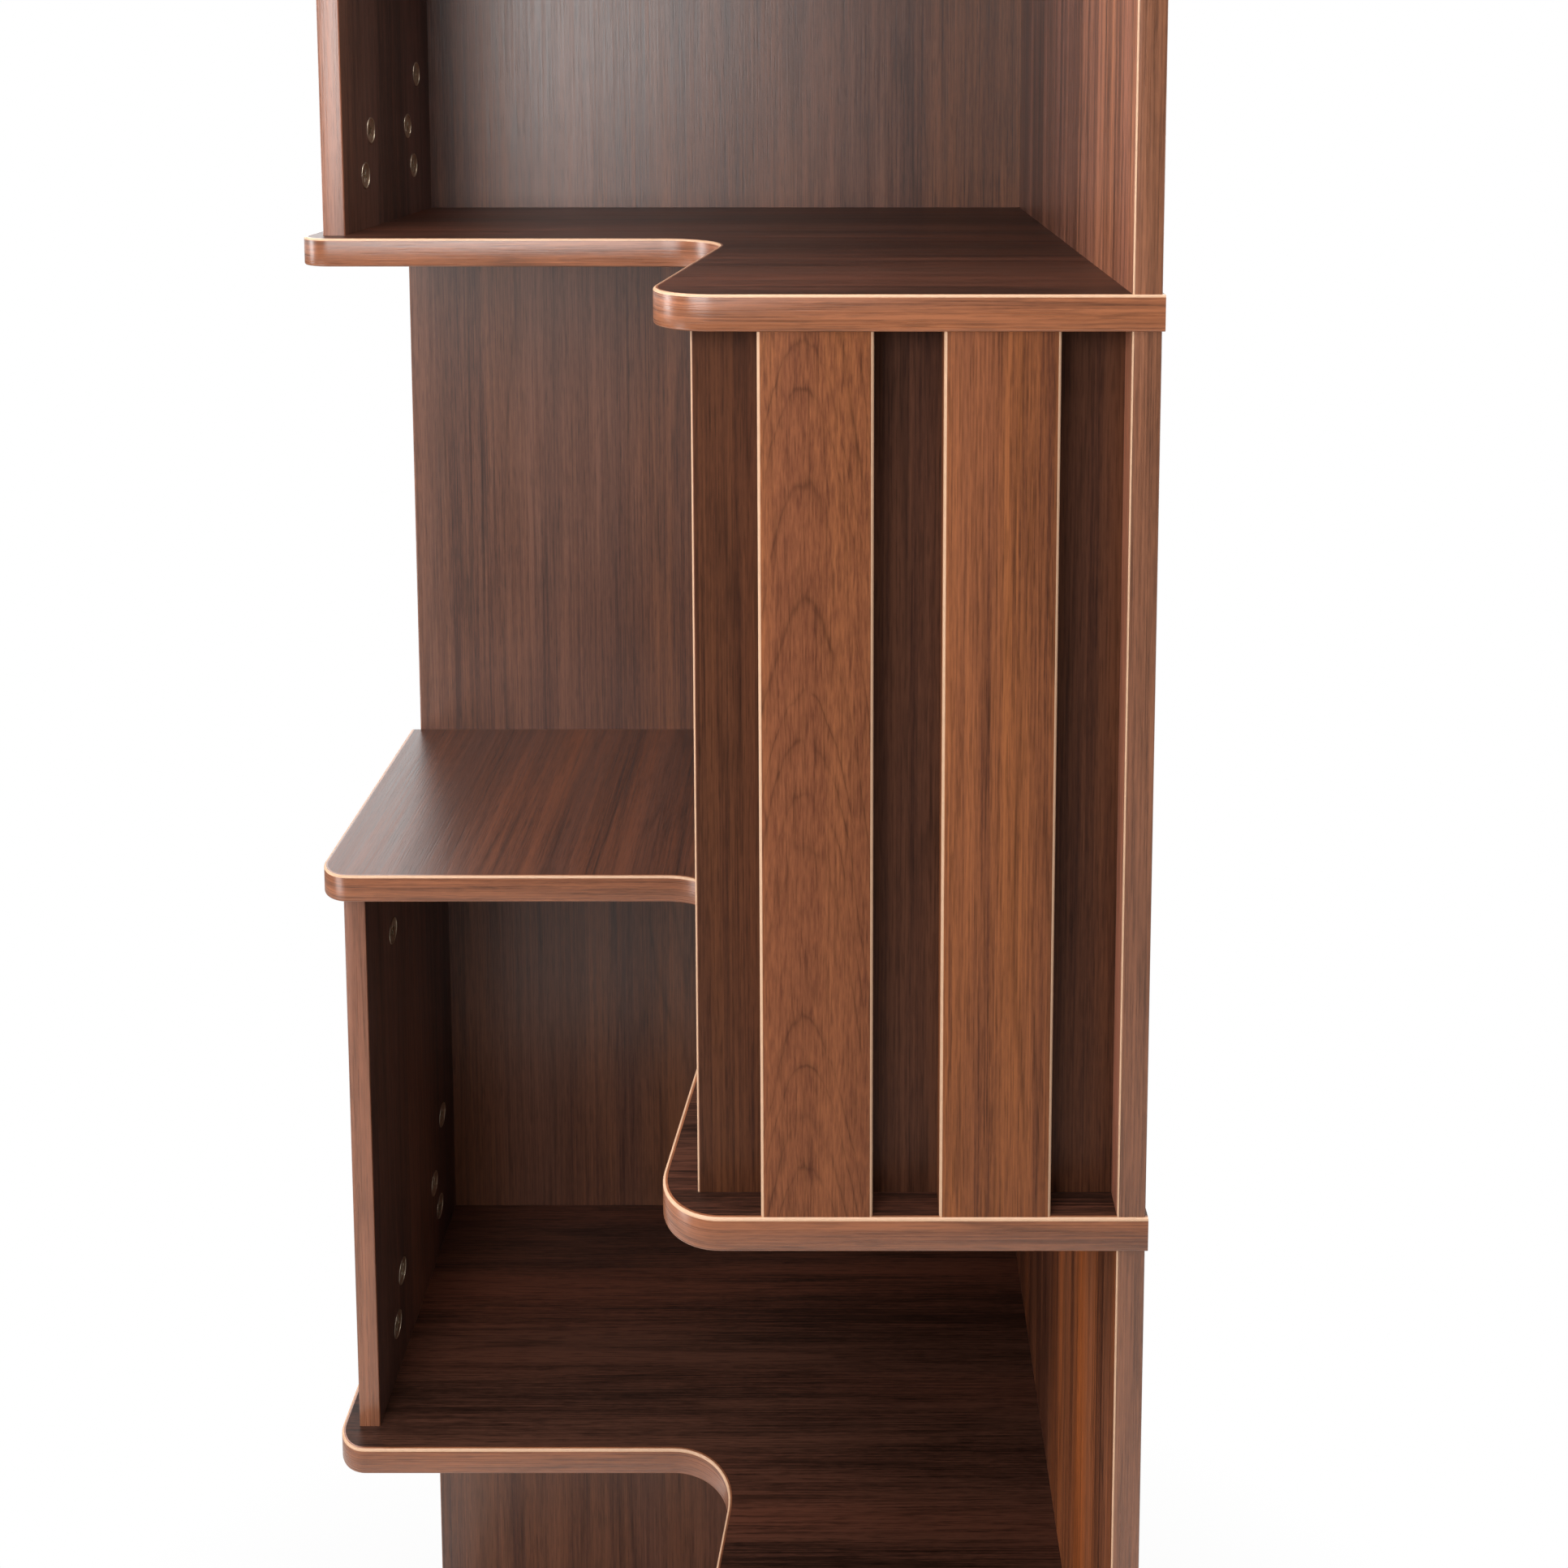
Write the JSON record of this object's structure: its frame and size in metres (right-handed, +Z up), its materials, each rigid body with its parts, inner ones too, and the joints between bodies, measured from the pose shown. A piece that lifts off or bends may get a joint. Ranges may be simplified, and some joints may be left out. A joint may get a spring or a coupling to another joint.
{
  "type": "corner bookcase",
  "caption": "Tall L-shaped corner bookcase of walnut-faced board with staggered open shelves, rounded banded edges and slatted front ends.",
  "frame": {"origin": "on the floor, under the middle of the footprint's bounding square", "axes": "+X to the right, +Y to the back wall, +Z up; the front faces -Y and the right wall is at +X"},
  "size_m": [0.42, 0.42, 1.756],
  "materials": {
    "walnut_shelf": "satin wood-grain facing, dark walnut",
    "walnut_panel": "satin wood-grain facing, reddish walnut",
    "walnut_back": "satin wood-grain facing, brown walnut",
    "walnut_slat": "satin, warm orange-brown walnut",
    "edge_band": "satin wood-grain edge band with pale scraped arrises",
    "cam_zinc": "bright zinc, die cast",
    "steel": "zinc plated",
    "beech_dowel": "raw beech",
    "glide_plastic": "moulded, dark brown"
  },
  "bodies": {
    "root": {"back_screws": "steel", "base_board": "walnut_shelf", "base_board_band": "edge_band", "bracket_screws": "steel", "cam_bolts": "steel", "cam_locks": "cam_zinc", "dowels": "beech_dowel", "floor_glides": "glide_plastic", "left_panel_1": "walnut_panel", "left_panel_1_band": "edge_band", "left_panel_3": "walnut_panel", "left_panel_3_band": "edge_band", "left_panel_5": "walnut_panel", "left_panel_5_band": "edge_band", "lower_back_panel": "walnut_back", "lower_back_panel_band": "edge_band", "lower_divider": "walnut_panel", "lower_front_shelf": "walnut_shelf", "lower_front_shelf_band": "edge_band", "lower_left_shelf": "walnut_shelf", "lower_left_shelf_band": "edge_band", "lower_slat_1": "walnut_slat", "lower_slat_2": "walnut_slat", "lower_slat_backing": "walnut_panel", "lower_slat_backing_band": "edge_band", "middle_board": "walnut_shelf", "middle_board_band": "edge_band", "right_panel_1": "walnut_panel", "right_panel_1_band": "edge_band", "right_panel_2": "walnut_panel", "right_panel_2_band": "edge_band", "right_panel_3": "walnut_panel", "right_panel_3_band": "edge_band", "right_panel_4": "walnut_panel", "right_panel_4_band": "edge_band", "right_panel_5": "walnut_panel", "right_panel_5_band": "edge_band", "slat_screws": "steel", "top_back_panel": "walnut_back", "top_back_panel_band": "edge_band", "top_board": "walnut_shelf", "top_board_band": "edge_band", "upper_back_panel": "walnut_back", "upper_back_panel_band": "edge_band", "upper_board": "walnut_shelf", "upper_board_band": "edge_band", "upper_divider": "walnut_panel", "upper_front_shelf": "walnut_shelf", "upper_front_shelf_band": "edge_band", "upper_left_shelf": "walnut_shelf", "upper_left_shelf_band": "edge_band", "upper_slat_1": "walnut_slat", "upper_slat_2": "walnut_slat", "upper_slat_backing": "walnut_panel", "upper_slat_backing_band": "edge_band", "wall_bracket": "steel"}
  },
  "joints": []
}
